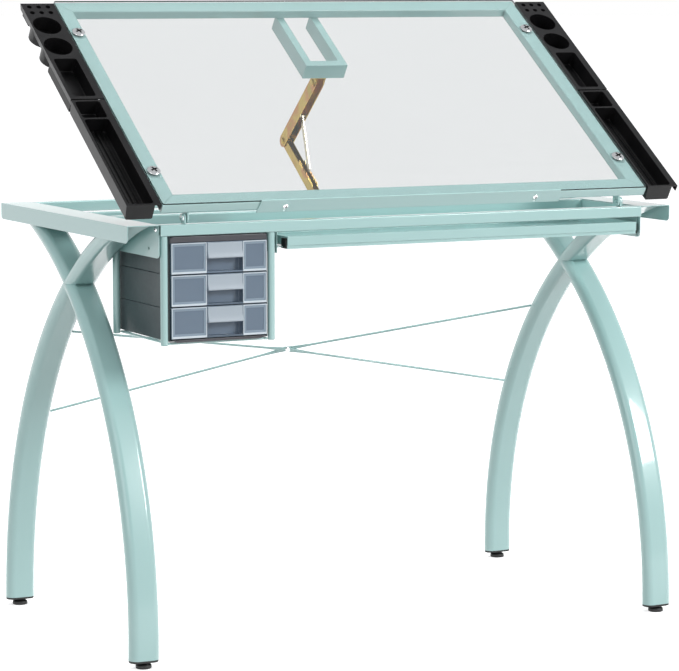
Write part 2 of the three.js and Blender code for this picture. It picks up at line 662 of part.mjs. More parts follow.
// The fork under the bracket, which holds the head of the upper arm.
function stayHead() {
  const a = THREE.MathUtils.degToRad(TILT);
  const slope = (STAY.head.y - TOP_Y) * Math.cos(a) + (STAY.head.z - TOP_Z) * Math.sin(a);
  const out = (STAY.head.z - TOP_Z) * Math.cos(a) - (STAY.head.y - TOP_Y) * Math.sin(a);
  const inner = ARM.upperHalf + FORK.headPlay;
  const outer = inner + ARM.sheet;
  const start = bracketLow - GAP;
  const outline = new THREE.Shape();
  outline.moveTo(slope + FORK.r, start);
  outline.lineTo(slope - FORK.r, start);
  outline.absarc(slope, out, FORK.r, Math.PI, 2 * Math.PI);
  const { clear } = FORK;
  const slot = box(-inner, inner, slope - clear, slope + clear, out - clear, start - ARM.sheet);
  const fork = plateYZ(outline, -outer, outer).subtract(slot);
  const rivetEnd = outer + FORK.out;
  const rivets = [-1, 1].map((side) => pinX(slope, out, side * rivetEnd, side * (outer - OVER), ARM.head));
  return fork.add(rivets[0]).add(rivets[1]);
}
add(top, "stay_head", stayHead().translate([STAY.x, 0, 0]), zinc);

// ---- Pencil ledge on the front of the top ----
// Each slot is as long as the travel, so that its screw stays inside it when the ledge is raised.
const LEDGE = { half: 305, t: 1.5, low: -26, high: 1, taper: 5, travel: 7.5 };
const LEDGE_SLOT = { x: 251, z: -14, r: 2.3 };
function pencilLedge() {
  const back = -GAP;
  const front = back - LEDGE.t;
  const plate = new THREE.ExtrudeGeometry(
    polygon([
      [-LEDGE.half, LEDGE.low],
      [LEDGE.half, LEDGE.low],
      [LEDGE.half - LEDGE.taper, LEDGE.high],
      [LEDGE.taper - LEDGE.half, LEDGE.high],
    ]),
    { depth: LEDGE.t, bevelEnabled: false },
  ).rotateX(Math.PI / 2);
  let body = solid(plate.translate(0, back, 0));
  for (const side of [-1, 1]) {
    const { z, r } = LEDGE_SLOT;
    const x = side * LEDGE_SLOT.x;
    const slot = box(x - r, x + r, front - OVER, back + OVER, z - LEDGE.travel - r, z + r);
    body = body.subtract(slot);
  }
  return body;
}
add(top, "pencil_ledge", pencilLedge(), paint);

// ---- Side trays, lifted off along the normal of the glass ----
function trayShell(length, depth) {
  const { w, wall, lip, hook, lean } = TRAY;
  const shape = polygon([
    [0, 0],
    [lean, -depth],
    [w - lip + OVER, -depth],
    [w - lip, -wall],
    [w - wall, -wall],
    [w - wall, -hook],
    [w, -hook],
    [w, 0],
  ]);
  const geometry = new THREE.ExtrudeGeometry(shape, { depth: length, bevelEnabled: false });
  return solid(geometry.rotateX(Math.PI / 2).translate(0, length, 0));
}

function lowerTray() {
  const { length, cup, well, ribs } = LOWER_TRAY;
  const floor = TRAY.wall - TRAY.depth;
  const [x0, x1] = [TRAY.wall + TRAY.lean, TRAY.w - TRAY.lip - TRAY.wall];
  let body = trayShell(length, TRAY.depth);
  for (const [y0, y1] of [cup, well]) {
    body = body.subtract(box(x0, x1, y0, y1, floor, OVER));
  }
  for (let i = 0; i < ribs; i += 1) {
    const x = x0 + RIB.first + i * RIB.pitch;
    body = body.add(box(x, x + RIB.w, well[0] - OVER, well[1] + OVER, floor - OVER, floor + RIB.h));
  }
  return body;
}

function upperTray() {
  const { length, compartment, cups } = UPPER_TRAY;
  const { w, wall, lip, skirt, depth, lean } = TRAY;
  const [under0, under1] = [wall + lean - OVER, w - lip - wall];
  const under = box(under0, under1, wall, length - wall, -skirt - OVER, -TRAY.deck);
  const [boxY0, boxY1] = compartment;
  const [penY0, penY1] = [PEN.y[0] - PEN.margin, PEN.y[1] + PEN.margin];
  const penBlock = box(PEN.block[0], PEN.block[1], penY0, penY1, -PEN.depth - wall, -OVER);
  const well = box(lean, w - lean, boxY0 - lean, boxY1 + lean, -depth, -OVER);
  let body = trayShell(length, skirt).subtract(under).add(well).add(penBlock);
  for (const y of cups) {
    body = body.add(rod("z", CUP.x, y, -depth, -OVER, CUP.r + CUP.wall, CUP.sides));
  }
  body = body.subtract(hookSpace(length));
  for (const y of cups) {
    body = body.subtract(rod("z", CUP.x, y, wall - depth, OVER, CUP.r, CUP.sides));
  }
  for (const y of PEN.y) {
    for (const x of PEN.x) {
      body = body.subtract(rod("z", x, y, -PEN.depth, OVER, PEN.r, PEN.sides));
    }
  }
  return body.subtract(box(UPPER_TRAY.inside[0], UPPER_TRAY.inside[1], boxY0, boxY1, wall - depth, OVER));
}

// The room behind the hook, where the edge of the glass and its rail go.
function hookSpace(length) {
  const { w, wall, depth } = TRAY;
  const far = w - wall;
  return box(far - TRAY.edge, far, -OVER, length + OVER, -depth - OVER, -wall);
}

const TRAY_X = { left: -TOP_W / 2 - TRAY.gap - TRAY.w, right: TOP_W / 2 + TRAY.gap };
for (const [name] of SIDES) {
  const lower = add(top, `tray_lower_${name}`, lowerTray(), blackPlastic);
  lower.position.set(TRAY_X[name], LOWER_TRAY.start, 0);
  const upper = add(top, `tray_upper_${name}`, upperTray(), blackPlastic);
  upper.position.set(TRAY_X[name], UPPER_TRAY.start, 0);
}

export default table;
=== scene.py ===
"""Looks of the drafting table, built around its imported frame. Metres, +Z up, front towards -Y."""
import json
import math

import bmesh
import bpy
from mathutils import Matrix, Vector


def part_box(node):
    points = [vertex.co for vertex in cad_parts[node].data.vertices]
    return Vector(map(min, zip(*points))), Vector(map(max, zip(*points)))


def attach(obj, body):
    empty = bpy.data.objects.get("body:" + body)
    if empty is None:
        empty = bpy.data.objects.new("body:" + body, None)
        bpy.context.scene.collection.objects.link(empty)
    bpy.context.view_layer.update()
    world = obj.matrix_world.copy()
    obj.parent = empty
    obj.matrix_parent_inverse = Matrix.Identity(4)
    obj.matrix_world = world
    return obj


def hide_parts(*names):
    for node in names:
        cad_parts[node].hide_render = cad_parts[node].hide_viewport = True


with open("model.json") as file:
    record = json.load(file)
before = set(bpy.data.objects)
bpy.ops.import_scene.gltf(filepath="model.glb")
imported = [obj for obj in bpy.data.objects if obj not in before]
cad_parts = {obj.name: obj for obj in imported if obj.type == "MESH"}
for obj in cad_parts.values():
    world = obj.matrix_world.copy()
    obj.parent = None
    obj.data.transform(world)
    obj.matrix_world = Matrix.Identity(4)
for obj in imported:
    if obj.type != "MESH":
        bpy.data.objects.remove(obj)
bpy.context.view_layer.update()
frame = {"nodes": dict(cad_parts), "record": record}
NODES = frame["nodes"]
SIDES = {"left": -1, "right": 1}
ENDS = {"front": -1, "back": 1}
LEVELS = ("lower", "middle", "upper")

# ---- The top's own frame: x across, y up the slope, z out of the glass ----
LEDGE_SLIDE = next(j for j in frame["record"]["behaviour"]["joints"] if j["name"] == "ledge_slide")
NORMAL = Vector(LEDGE_SLIDE["axis"]).normalized()
SLOPE = Vector((0, NORMAL.z, -NORMAL.y))
GLASS_T = 0.003
GLASS_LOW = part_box("glass_panel")[0]
TOP_ORIGIN = Vector((0, GLASS_LOW.y, GLASS_LOW.z + GLASS_T * NORMAL.z))
TOP = Matrix.Translation(TOP_ORIGIN) @ Matrix((Vector((1, 0, 0)), SLOPE, NORMAL)).transposed().to_4x4()

# ---- Driving dimensions that the frame's boxes don't give ----
SHEET = 0.0015  # steel sheet of the channels
PASS = 0.01  # how far a cutter reaches past the face it opens
TINY = 1e-6

# Legs: x is a tube's middle, w and t its section; r, z and reach place the arc, foot is its lower end
LEG = {"x": 0.515, "w": 0.055, "t": 0.0297, "r": 0.770, "z": 0.030, "reach": 0.470, "foot": 0.014}
LEG_START = 0.001  # a leg begins this far above its foot, and the end cap reaches up into it
LEG_PAST = 0.03  # how far a leg is swept past the seam before it is cut
ARM_PAST = 0.04  # the same for an arm, downwards
ARM_OVER = 0.020  # how far an arm is swept past the channel before it is cut level
SPLAY = math.radians(0.6)
SEAM_Z = 0.640  # where the two tubes of a side cross
BASE_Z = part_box("side_channel_left")[1].z
CAP = {"below": 0.003, "above": 0.002, "smaller": 0.001, "steps": 3}

# Levelling feet: the pad's section as (radius, height), then the thread above it
FOOT_PAD = [(0, 0), (0.0125, 0), (0.0137, 0.0006), (0.014, 0.0018), (0.014, 0.0052), (0.0134, 0.0066)]
FOOT_PAD += [(0.0116, 0.0078), (0.0080, 0.0086), (0.0052, 0.0092), (0.0050, 0.0125), (0.0040, 0.0128)]
THREAD = {"z": 0.0135, "turns": 10, "pitch": 0.0026, "r": 0.0040, "root": 0.0036}
THREAD_TOP = {"z": 0.0395, "tip": 0.0398}

# Brace rods: within reach of the bolt, a rod gets thinner by thin and taller by wide
BRACE = {"r": 0.0022, "apart": 0.0038, "reach": 0.045, "thin": 0.55, "wide": 1.0, "steps": 20}
BRACE_HUB = Vector((0, 0.214, 0.469))
BRACE_BOLT = [(0, -0.0068), (0.0045, -0.0068), (0.0050, -0.0062), (0.0050, -0.0050), (0.0026, -0.0049)]
BRACE_BOLT += [(0.0026, 0.0049), (0.0050, 0.0050), (0.0050, 0.0064), (0.0036, 0.0072), (0, 0.0075)]

# Rack and cabinet. A post's foot is (distance in from its radius, height)
POST_FOOT = [(0.0015, 0), (0.0004, 0.0006), (0, 0.0016)]
TRIM = {"front": 0.0025, "inset": 0.001, "h": 0.0125, "over": 0.0004, "corner": 0.0075, "back": 0.004}
SKIRT = {"inset": 0.004, "taper": 0.014, "low": 0.5605, "high": 0.5652, "proud": 0.0005, "gap": 0.0002}

# Drawers: front is how far the face stands behind the flange's edge; the grip is a recess below it
DRAWER = {"z": 0.567, "pitch": 0.0557, "face": 0.054, "w": 0.181, "front": 0.006, "t": 0.003}
GRIP = {"x": (-0.396, -0.328), "h": 0.025, "d": 0.014, "low": 0.003, "corner": 0.001, "gap": 0.001}
RIM_SUNK = 0.0004  # how far a rim reaches into the face
RIM_LOW = 0.002  # a rim is this much wider along its lower edge
FLANGE_LOW = [(0.001, 0), (-0.006, 0.001), (-0.006, 0.004), (-0.003, 0.013)]  # from the recess's top
FLANGE_HIGH = [(-0.0025, -0.0015), (0.001, -0.0006)]  # from the drawer's top
TUB = {"low": 0.0035, "h": 0.047, "inset": 0.002, "wall": 0.002, "behind": 0.0032, "corner": 0.004}
TUB_JOIN = 0.001  # the grip's housing starts this far above the tub's underside

# Pull-out tray's black ends
TRAY_END = {"in": 0.0004, "out": 0.0035, "front": 0.0025, "back": 0.020, "low": 0.0005, "high": 0.003}

# Screws and bolts: r and h are a head's radius and height
HEAD_PROFILE = [(0, 0), (0.96, 0), (1, 0.10), (0.98, 0.26), (0.85, 0.62), (0.6, 0.86), (0.3, 0.97), (0, 1)]
CROSS = {"reach": 0.56, "half": 0.15, "floor": 0.15, "past": 1.5}  # shares of the head's radius and height
CROSS_SLACK = {"half": 1.05, "reach": 1.02}  # faces this near the cross belong to it and take the recess's dark painted shade
GLASS_SCREW = {"x": 0.469, "lift": 0.0003, "turn": math.radians(25), "r": 0.012, "h": 0.0037}
GLASS_SCREW_Y = {"front": 0.092, "back": 0.504}
HINGE_BOLT = {"y": -0.289, "z": 0.776, "r": 0.0069, "h": 0.0040, "sunk": 0.0033}
PLATE_BOLT = {"y": -0.279, "z": 0.7566, "r": 0.0045, "h": 0.0028, "lift": 0.0001}
LEDGE_SCREW = {"x": 0.251, "y": -0.0018, "z": -0.014, "r": 0.0052, "h": 0.0022}
QUARTER = math.radians(90)
GLASS_FACING = 0.6  # a face of the glass whose normal agrees less than this with its own is an edge, and takes the edge's green tint and painted shadow

# Side trays, in the top's frame from each tray's left edge and lower end
TRAY = {"w": 0.065, "depth": 0.031, "wall": 0.002, "lip": 0.012, "hook": 0.012, "lean": 0.004, "skirt": 0.016}
TRAY_CORNER = 0.0035
TRAY_DRAFT = 0.001  # how far the bowl's right side leans in
POCKET = {"corner": 0.0055, "floor": 0.002}
LOWER_TRAY = {"start": -0.001, "length": 0.300, "cup": (0.248, 0.296), "well": (0.004, 0.244)}
WELL_SIDES = {"left": 0.001, "right": 0.0005}  # the pockets reach this much into the side walls
RIB = {"count": 4, "first": 0.008, "pitch": 0.009, "gap": 0.001}
RIB_SECTION = [(-0.001, -0.001), (0.0035, -0.001), (0.0022, 0.0035), (0.0003, 0.0035)]
UPPER_TRAY = {"start": 0.302, "length": 0.293, "compartment": (0.008, 0.121), "inside": (0.007, 0.0515)}
UPPER_BLOCK = {"x": (0.0045, 0.0535), "margin": 0.004}  # the compartment's outer walls
DECK = {"t": 0.0025, "join": 0.001, "left": 0.003, "under": 0.03}
CUP = {"x": 0.0295, "r": 0.0265, "wall": 0.0025, "sunk": 0.0005, "y": (0.159, 0.2235)}
PENS = {"x": (0.014, 0.032, 0.050), "y": (0.264, 0.282), "r": 0.00475, "depth": 0.022, "sides": 24}
PEN_BLOCK = (0.008, 0.058, 0.256, 0.290)
HOOK_ROOM = {"x": 0.0024, "past": 0.001, "depth": 0.04}

# Stage, camera and lamps. Tilt and turn are in degrees
FLOOR = {"size": 400, "roughness": 0.8, "glow": 0.52}
CAMERA = {"lens": 158.1, "far": 100, "at": (-2.4952, -4.9566, 1.1772), "tilt": 83.23, "turn": -26.79}
SKY = [(0.30, (0.34, 0.35, 0.35)), (0.49, (1, 1, 1)), (0.53, (1, 1, 1)), (0.72, (0.60, 0.61, 0.62))]


# ---- Materials ----
def shader(name):
    material = bpy.data.materials.new(name)
    material.use_nodes = True
    nodes = material.node_tree.nodes
    return material, nodes, material.node_tree.links, nodes["Principled BSDF"]


def noise(nodes, links, scale, detail=3.0, stretch=(1, 1, 1)):
    coords = nodes.new("ShaderNodeTexCoord")
    mapping = nodes.new("ShaderNodeMapping")
    mapping.inputs["Scale"].default_value = stretch
    texture = nodes.new("ShaderNodeTexNoise")
    texture.inputs["Scale"].default_value = scale
    texture.inputs["Detail"].default_value = detail
    links.new(coords.outputs["Object"], mapping.inputs["Vector"])
    links.new(mapping.outputs["Vector"], texture.inputs["Vector"])
    return texture.outputs["Fac"]


def ramp(nodes, links, factor, stops):
    colours = nodes.new("ShaderNodeValToRGB")
    elements = colours.color_ramp.elements
    while len(elements) < len(stops):
        elements.new(0.5)
    for element, (position, colour) in zip(elements, stops):
        element.position = position
        element.color = (*colour, 1)
    links.new(factor, colours.inputs["Fac"])
    return colours.outputs["Color"]


def spread(nodes, links, factor, low, high):
    scaled = nodes.new("ShaderNodeMapRange")
    scaled.inputs["To Min"].default_value = low
    scaled.inputs["To Max"].default_value = high
    links.new(factor, scaled.inputs["Value"])
    return scaled.outputs["Result"]


def relief(nodes, links, bsdf, factor, strength, distance):
    bump = nodes.new("ShaderNodeBump")
    bump.inputs["Strength"].default_value = strength
    bump.inputs["Distance"].default_value = distance
    links.new(factor, bump.inputs["Height"])
    links.new(bump.outputs["Normal"], bsdf.inputs["Normal"])


def tinted(nodes, links, bsdf, scale, low, high):
    """Base colour that drifts between two tones."""
    colour = ramp(nodes, links, noise(nodes, links, scale), [(0.3, low), (0.7, high)])
    links.new(colour, bsdf.inputs["Base Color"])


def glossed(nodes, links, bsdf, factor, low, high):
    """Roughness that drifts between two values."""
    links.new(spread(nodes, links, factor, low, high), bsdf.inputs["Roughness"])


def powder_coat():
    """Glossy pale mint coating with the faint orange peel of a baked powder."""
    material, nodes, links, bsdf = shader("mint_powder_coat")
    tinted(nodes, links, bsdf, 4.0, (0.352, 0.552, 0.540), (0.358, 0.560, 0.548))
    glossed(nodes, links, bsdf, noise(nodes, links, 25.0), 0.28, 0.31)
    relief(nodes, links, bsdf, noise(nodes, links, 320.0, 2.0), 0.03, 0.0001)
    bsdf.inputs["Coat Weight"].default_value = 0.85
    bsdf.inputs["Coat Roughness"].default_value = 0.07
    return material


def moulded(name, low, high, roughness, grain=1400.0, specular=0.5):
    """Moulded plastic: a fine spark-eroded grain and slightly uneven gloss."""
    material, nodes, links, bsdf = shader(name)
    tinted(nodes, links, bsdf, 22.0, low, high)
    glossed(nodes, links, bsdf, noise(nodes, links, 90.0), roughness - 0.05, roughness + 0.06)
    relief(nodes, links, bsdf, noise(nodes, links, grain, 2.0), 0.12, 0.0002)
    bsdf.inputs["Specular IOR Level"].default_value = specular
    return material


def frosted(name, colour, alpha):
    """Frosted polypropylene: bluish, see-through where it is thin."""
    low = tuple(0.97 * c for c in colour)
    material = moulded(name, low, colour, 0.24, 300.0)
    material.node_tree.nodes["Principled BSDF"].inputs["Alpha"].default_value = alpha
    return material


def clear_glass():
    material, nodes, links, bsdf = shader("tempered_glass")
    tinted(nodes, links, bsdf, 3.0, (0.10, 0.12, 0.12), (0.12, 0.14, 0.14))
    glossed(nodes, links, bsdf, noise(nodes, links, 12.0), 0.03, 0.05)
    bsdf.inputs["Alpha"].default_value = 0.20
    return material


# The glass edges' green tint, darkened to near black as painted shadow of the gap under the glass
def glass_edge():
    material, nodes, links, bsdf = shader("glass_edge_tint_and_painted_shadow")
    tinted(nodes, links, bsdf, 40.0, (0.006, 0.018, 0.016), (0.010, 0.026, 0.024))
    glossed(nodes, links, bsdf, noise(nodes, links, 80.0), 0.30, 0.38)
    bsdf.inputs["Specular IOR Level"].default_value = 0.2
    return material


def metal(name, stops, low, high, scale=30.0, stretch=(1, 1, 1)):
    """Bare or plated metal. Stretch draws its fine marks out along one way."""
    material, nodes, links, bsdf = shader(name)
    links.new(ramp(nodes, links, noise(nodes, links, scale), stops), bsdf.inputs["Base Color"])
    glossed(nodes, links, bsdf, noise(nodes, links, 200.0, 3.0, stretch), low, high)
    relief(nodes, links, bsdf, noise(nodes, links, 600.0, 2.0, stretch), 0.05, 0.0001)
    bsdf.inputs["Metallic"].default_value = 1.0
    return material


PAINT = powder_coat()
TRAY_BLACK = moulded("tray_black", (0.0045, 0.0045, 0.005), (0.0095, 0.009, 0.0095), 0.30, specular=0.22)
FOOT_BLACK = moulded("foot_black", (0.008, 0.008, 0.008), (0.014, 0.014, 0.014), 0.48)
CABINET_GREY = moulded("cabinet_grey", (0.030, 0.046, 0.052), (0.044, 0.062, 0.068), 0.40)
TRIM_BLACK = moulded("cabinet_trim", (0.040, 0.040, 0.048), (0.058, 0.058, 0.068), 0.30)
PANEL = frosted("frosted_panel", (0.165, 0.225, 0.30), 0.80)
PANEL_STEP = frosted("frosted_step", (0.27, 0.35, 0.43), 0.85)
PANEL_RIM = frosted("frosted_rim", (0.66, 0.74, 0.80), 0.92)
GRIP_CLEAR = frosted("frosted_grip", (0.60, 0.68, 0.75), 0.62)
GLASS = clear_glass()
GLASS_EDGE_TINT_AND_SHADOW = glass_edge()
SILVER = [(0.3, (0.72, 0.73, 0.74)), (0.7, (0.82, 0.82, 0.83))]
CHROME = metal("chrome", SILVER, 0.08, 0.16)
BRONZE = [(0.30, (0.52, 0.33, 0.09)), (0.45, (0.62, 0.46, 0.12))]
BRONZE += [(0.60, (0.56, 0.27, 0.11)), (0.75, (0.44, 0.42, 0.08))]
ZINC = metal("yellow_zinc", BRONZE, 0.24, 0.40, 26.0, (1, 6, 1))
# Dark steel laid on the faces of the screws' cross recesses as painted shade
SHADE = [(0.3, (0.05, 0.05, 0.05)), (0.7, (0.08, 0.08, 0.08))]
RECESS_PAINTED_SHADE = metal("screw_recess_painted_shade", SHADE, 0.4, 0.5)
STRAW = [(0.3, (0.62, 0.56, 0.42)), (0.7, (0.74, 0.70, 0.58))]
PAWL_STEEL = metal("pawl_steel", STRAW, 0.22, 0.34)

# A drawer panel's raised edges: outer and inner distance from the panel's edge, height, finish
DRAWER_STEPS = [(0.0006, 0.0022, 0.0016, PANEL_RIM), (0.0024, 0.0062, 0.0008, PANEL_STEP)]


# ---- Mesh helpers ----
def box_mesh(x0, x1, y0, y1, z0, z1):
    bm = bmesh.new()
    bmesh.ops.create_cube(bm, size=1.0)
    size = Matrix.Diagonal((x1 - x0, y1 - y0, z1 - z0, 1))
    middle = Matrix.Translation(((x0 + x1) / 2, (y0 + y1) / 2, (z0 + z1) / 2))
    bmesh.ops.transform(bm, matrix=middle @ size, verts=bm.verts)
    return bm


def pocket_mesh(x0, x1, y0, y1, z0, z1, corner, floor):
    """A cutter for a moulded pocket: upright edges rounded by corner, the floor's edges by floor."""
    bm = box_mesh(x0, x1, y0, y1, z0, z1)
    upright = [e for e in bm.edges if abs(e.verts[0].co.z - e.verts[1].co.z) > TINY]
    bmesh.ops.bevel(bm, geom=upright, offset=corner, segments=6, profile=0.5, affect="EDGES")
    low = [e for e in bm.edges if max(v.co.z for v in e.verts) < z0 + TINY]
    bmesh.ops.bevel(bm, geom=low, offset=floor, segments=3, profile=0.5, affect="EDGES")
    return bm


def lathe_mesh(profile, sides=40):
    """Turns (radius, height) points about the z axis. The profile starts and ends on the axis."""
    bm = bmesh.new()
    verts = [bm.verts.new((r, 0, z)) for r, z in profile]
    edges = [bm.edges.new(pair) for pair in zip(verts, verts[1:])]
    bmesh.ops.spin(bm, geom=verts + edges, cent=(0, 0, 0), axis=(0, 0, 1), angle=2 * math.pi, steps=sides)
    bmesh.ops.remove_doubles(bm, verts=bm.verts, dist=TINY)
    bmesh.ops.recalc_face_normals(bm, faces=bm.faces)
    return bm


def sweep_mesh(rings):
    """Closed skin through rings of points, with both ends filled."""
    bm = bmesh.new()
    rows = [[bm.verts.new(p) for p in ring] for ring in rings]
    count = len(rows[0])
    for a, b in zip(rows, rows[1:]):
        for i in range(count):
            bm.faces.new((a[i], a[(i + 1) % count], b[(i + 1) % count], b[i]))
    bm.faces.new(rows[0])
    bm.faces.new(rows[-1])
    bmesh.ops.recalc_face_normals(bm, faces=bm.faces)
    return bm


def prism_mesh(outline, y0, y1):
    """An outline in x and z, pushed along y."""
    return sweep_mesh([[(x, y0, z) for x, z in outline], [(x, y1, z) for x, z in outline]])


def from_cad(node):
    """The node's mesh with its facets joined into whole faces."""
    bm = bmesh.new()
    bm.from_mesh(NODES[node].data)
    bmesh.ops.remove_doubles(bm, verts=bm.verts, dist=1e-5)
    bmesh.ops.dissolve_limit(bm, angle_limit=math.radians(1), verts=bm.verts, edges=bm.edges)
    return bm


def made(name, bm, matrix=None):
    if matrix is not None:
        bmesh.ops.transform(bm, matrix=matrix, verts=bm.verts)
    mesh = bpy.data.meshes.new(name)
    bm.to_mesh(mesh)
    bm.free()
    obj = bpy.data.objects.new(name, mesh)
    bpy.context.scene.collection.objects.link(obj)
    return obj


def applied(obj):
    graph = bpy.context.evaluated_depsgraph_get()
    mesh = bpy.data.meshes.new_from_object(obj.evaluated_get(graph))
    obj.modifiers.clear()
    obj.data = mesh
    return obj


def boolean(obj, tools, operation="DIFFERENCE"):
    for bm in tools:
        tool = made("tool", bm)
        modifier = obj.modifiers.new("boolean", "BOOLEAN")
        modifier.operation = operation
        modifier.solver = "MANIFOLD"
        modifier.object = tool
        applied(obj)
        bpy.data.objects.remove(tool)
    return obj


def dress(obj, body, slot, material, *nodes, bevel=0.0006, segments=2, angle=32):
    """Rounds the edges, shades the piece, and puts it on its body in place of its CAD nodes."""
    obj.data.materials.clear()
    obj.data.materials.append(material)
    if bevel:
        modifier = obj.modifiers.new("bevel", "BEVEL")
        modifier.width = bevel
        modifier.segments = segments
        modifier.limit_method = "ANGLE"
        modifier.angle_limit = math.radians(angle)
        applied(obj)
    for polygon in obj.data.polygons:
        polygon.use_smooth = True
    obj.data.set_sharp_from_angle(angle=math.radians(40))
    modifier = obj.modifiers.new("normals", "WEIGHTED_NORMAL")
    modifier.keep_sharp = True
    applied(obj)
    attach(obj, body)
    if nodes:
        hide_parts(*nodes)
    return obj


def coated(node, body, slot="mint_paint", material=PAINT, bevel=0.0006):
    """A CAD node's own shape with rounded edges and its finish."""
    return dress(made(f"finished_{node}", from_cad(node)), body, slot, material, node, bevel=bevel)


# ---- Base frame: rails, channels, plates, rack and guides keep the CAD shape ----
def base_frame():
    bars = ["front_rail", "back_rail", "cross_rail", "stay_rail", "rack_base"]
    paired = ("side_channel", "side_plate", "tray_guide", "hinge_ear")
    bars += [f"{part}_{side}" for part in paired for side in SIDES]
    for node in bars:
        coated(node, "base")


# ---- Legs: each oval tube is swept along its arc and cut where the two of a side cross ----
def oval(angle, w, t):
    """A point of a tube's outline, two half circles joined by flats, at an angle round it."""
    r = t / 2
    shift = (w / 2 - r) * (1 if math.cos(angle) >= 0 else -1)
    return shift + r * math.cos(angle), r * math.sin(angle)


def arc_rings(end, low, high, w=LEG["w"], t=LEG["t"], steps=56, sides=48):
    """Rings along a leg's arc between two heights. The wide way of the oval lies across the table."""
    start, stop = (math.asin((z - LEG["z"]) / LEG["r"]) for z in (low, high))
    rings = []
    for i in range(steps + 1):
        a = start + (stop - start) * i / steps
        outward = Vector((0, end * math.cos(a), math.sin(a)))
        centre = Vector((0, end * -LEG["reach"], LEG["z"])) + LEG["r"] * outward
        ring = []
        for k in range(sides):
            across, along = oval(2 * math.pi * (k + 0.5) / sides, w, t)
            ring.append(centre + Vector((across, 0, 0)) + outward * along)
        rings.append(ring)
    return rings


def keep_side(bm, point, normal):
    """Cuts away what lies on the normal's side of a plane, and closes the cut."""
    geometry = bm.verts[:] + bm.edges[:] + bm.faces[:]
    cut = bmesh.ops.bisect_plane(bm, geom=geometry, plane_co=point, plane_no=normal, clear_outer=True)
    edges = [e for e in cut["geom_cut"] if isinstance(e, bmesh.types.BMEdge)]
    bmesh.ops.edgeloop_fill(bm, edges=edges)
    bmesh.ops.recalc_face_normals(bm, faces=bm.faces)


def splay(side):
    """The legs of a side lean out together, turned about the channel's top."""
    at = Matrix.Translation((side * LEG["x"], 0, BASE_Z))
    return at @ Matrix.Rotation(-side * SPLAY, 4, "Y") @ Matrix.Translation((0, 0, -BASE_Z))


def lower_leg(end_name, end, side_name, side):
    leg = sweep_mesh(arc_rings(end, LEG["foot"] + LEG_START, SEAM_Z + LEG_PAST))
    middle = Vector((0, 0, SEAM_Z))
    keep_side(leg, middle, Vector((0, 0, 1)))
    keep_side(leg, middle, Vector((0, -end, 0)))
    name = f"leg_{end_name}_{side_name}"
    dress(made(f"finished_{name}", leg, splay(side)), "base", "mint_paint", PAINT, name, bevel=0)


def upper_arm(end, side_name, side):
    """The same arc above the crossing, on its way to the table's other end."""
    arm = sweep_mesh(arc_rings(end, SEAM_Z - ARM_PAST, BASE_Z + ARM_OVER))
    middle = Vector((0, 0, SEAM_Z))
    keep_side(arm, Vector((0, 0, BASE_Z - SHEET)), Vector((0, 0, 1)))
    keep_side(arm, middle, Vector((0, 0, -1)))
    keep_side(arm, middle, Vector((0, end, 0)))
    name = f"arm_{'back' if end < 0 else 'front'}_{side_name}"
    place = Matrix.Translation((side * LEG["x"], 0, 0))
    dress(made(f"finished_{name}", arm, place), "base", "mint_paint", PAINT, name, bevel=0)


def end_cap(end_name, end, side_name, side):
    low, high = LEG["foot"] - CAP["below"], LEG["foot"] + CAP["above"]
    w, t = LEG["w"] - CAP["smaller"], LEG["t"] - CAP["smaller"]
    skin = sweep_mesh(arc_rings(end, low, high, w, t, CAP["steps"]))
    cap = made(f"leg_cap_{end_name}_{side_name}", skin, splay(side))
    dress(cap, "base", "leveler_plastic", FOOT_BLACK, bevel=0.0006)


def legs():
    for end_name, end in ENDS.items():
        for side_name, side in SIDES.items():
            lower_leg(end_name, end, side_name, side)
            upper_arm(end, side_name, side)
            end_cap(end_name, end, side_name, side)


# ---- Levelling feet ----
def levelers():
    profile = list(FOOT_PAD)
    for i in range(THREAD["turns"]):
        z = THREAD["z"] + i * THREAD["pitch"]
        profile += [(THREAD["r"], z), (THREAD["root"], z + THREAD["pitch"] / 2)]
    profile += [(THREAD["root"], THREAD_TOP["z"]), (0, THREAD_TOP["tip"])]
    for end in ENDS:
        for side in SIDES:
            node = f"leveler_{end}_{side}"
            low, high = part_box(node)
            at = Matrix.Translation(((low.x + high.x) / 2, (low.y + high.y) / 2, low.z))
            foot = made(f"finished_{node}", lathe_mesh(profile), at)
            dress(foot, node, "leveler_plastic", FOOT_BLACK, node, bevel=0)


# ---- Brace rods, flattened where one bolt holds them together ----
def rod_rings(points, hub, sides=20):
    rings = []
    for i, point in enumerate(points):
        ahead = points[min(i + 1, len(points) - 1)] - points[max(i - 1, 0)]
        along = ahead.normalized()
        deep = Vector((0, 1, 0)) - along * along.y
        deep.normalize()
        tall = along.cross(deep)
        flat = max(0.0, 1 - (point - hub).length / BRACE["reach"])
        thick = BRACE["r"] * (1 - BRACE["thin"] * flat)
        high = BRACE["r"] * (1 + BRACE["wide"] * flat)
        ring = []
        for k in range(sides):
            a = 2 * math.pi * k / sides
            ring.append(point + deep * thick * math.cos(a) + tall * high * math.sin(a))
        rings.append(ring)
    return rings


def brace_rods():
    r, steps = BRACE["r"], BRACE["steps"]
    for name, side in (("brace_rod_rising", 1), ("brace_rod_falling", -1)):
        low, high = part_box(name)
        start_x, stop_x = (low.x, high.x) if side > 0 else (high.x, low.x)
        start = Vector((start_x, high.y - r, low.z + r))
        stop = Vector((stop_x, low.y + r, high.z - r))
        hub = BRACE_HUB + Vector((0, side * BRACE["apart"], 0))
        points = [start.lerp(hub, k / steps) for k in range(steps)]
        points += [hub.lerp(stop, k / steps) for k in range(steps + 1)]
        rod = made(f"finished_{name}", sweep_mesh(rod_rings(points, hub)))
        dress(rod, "base", "mint_paint", PAINT, name, bevel=0)
    place = Matrix.Translation(BRACE_HUB) @ Matrix.Rotation(QUARTER, 4, "X")
    bolt = made("brace_centre_bolt", lathe_mesh(BRACE_BOLT, 24), place)
    dress(bolt, "base", "chrome_screw", CHROME, bevel=0)


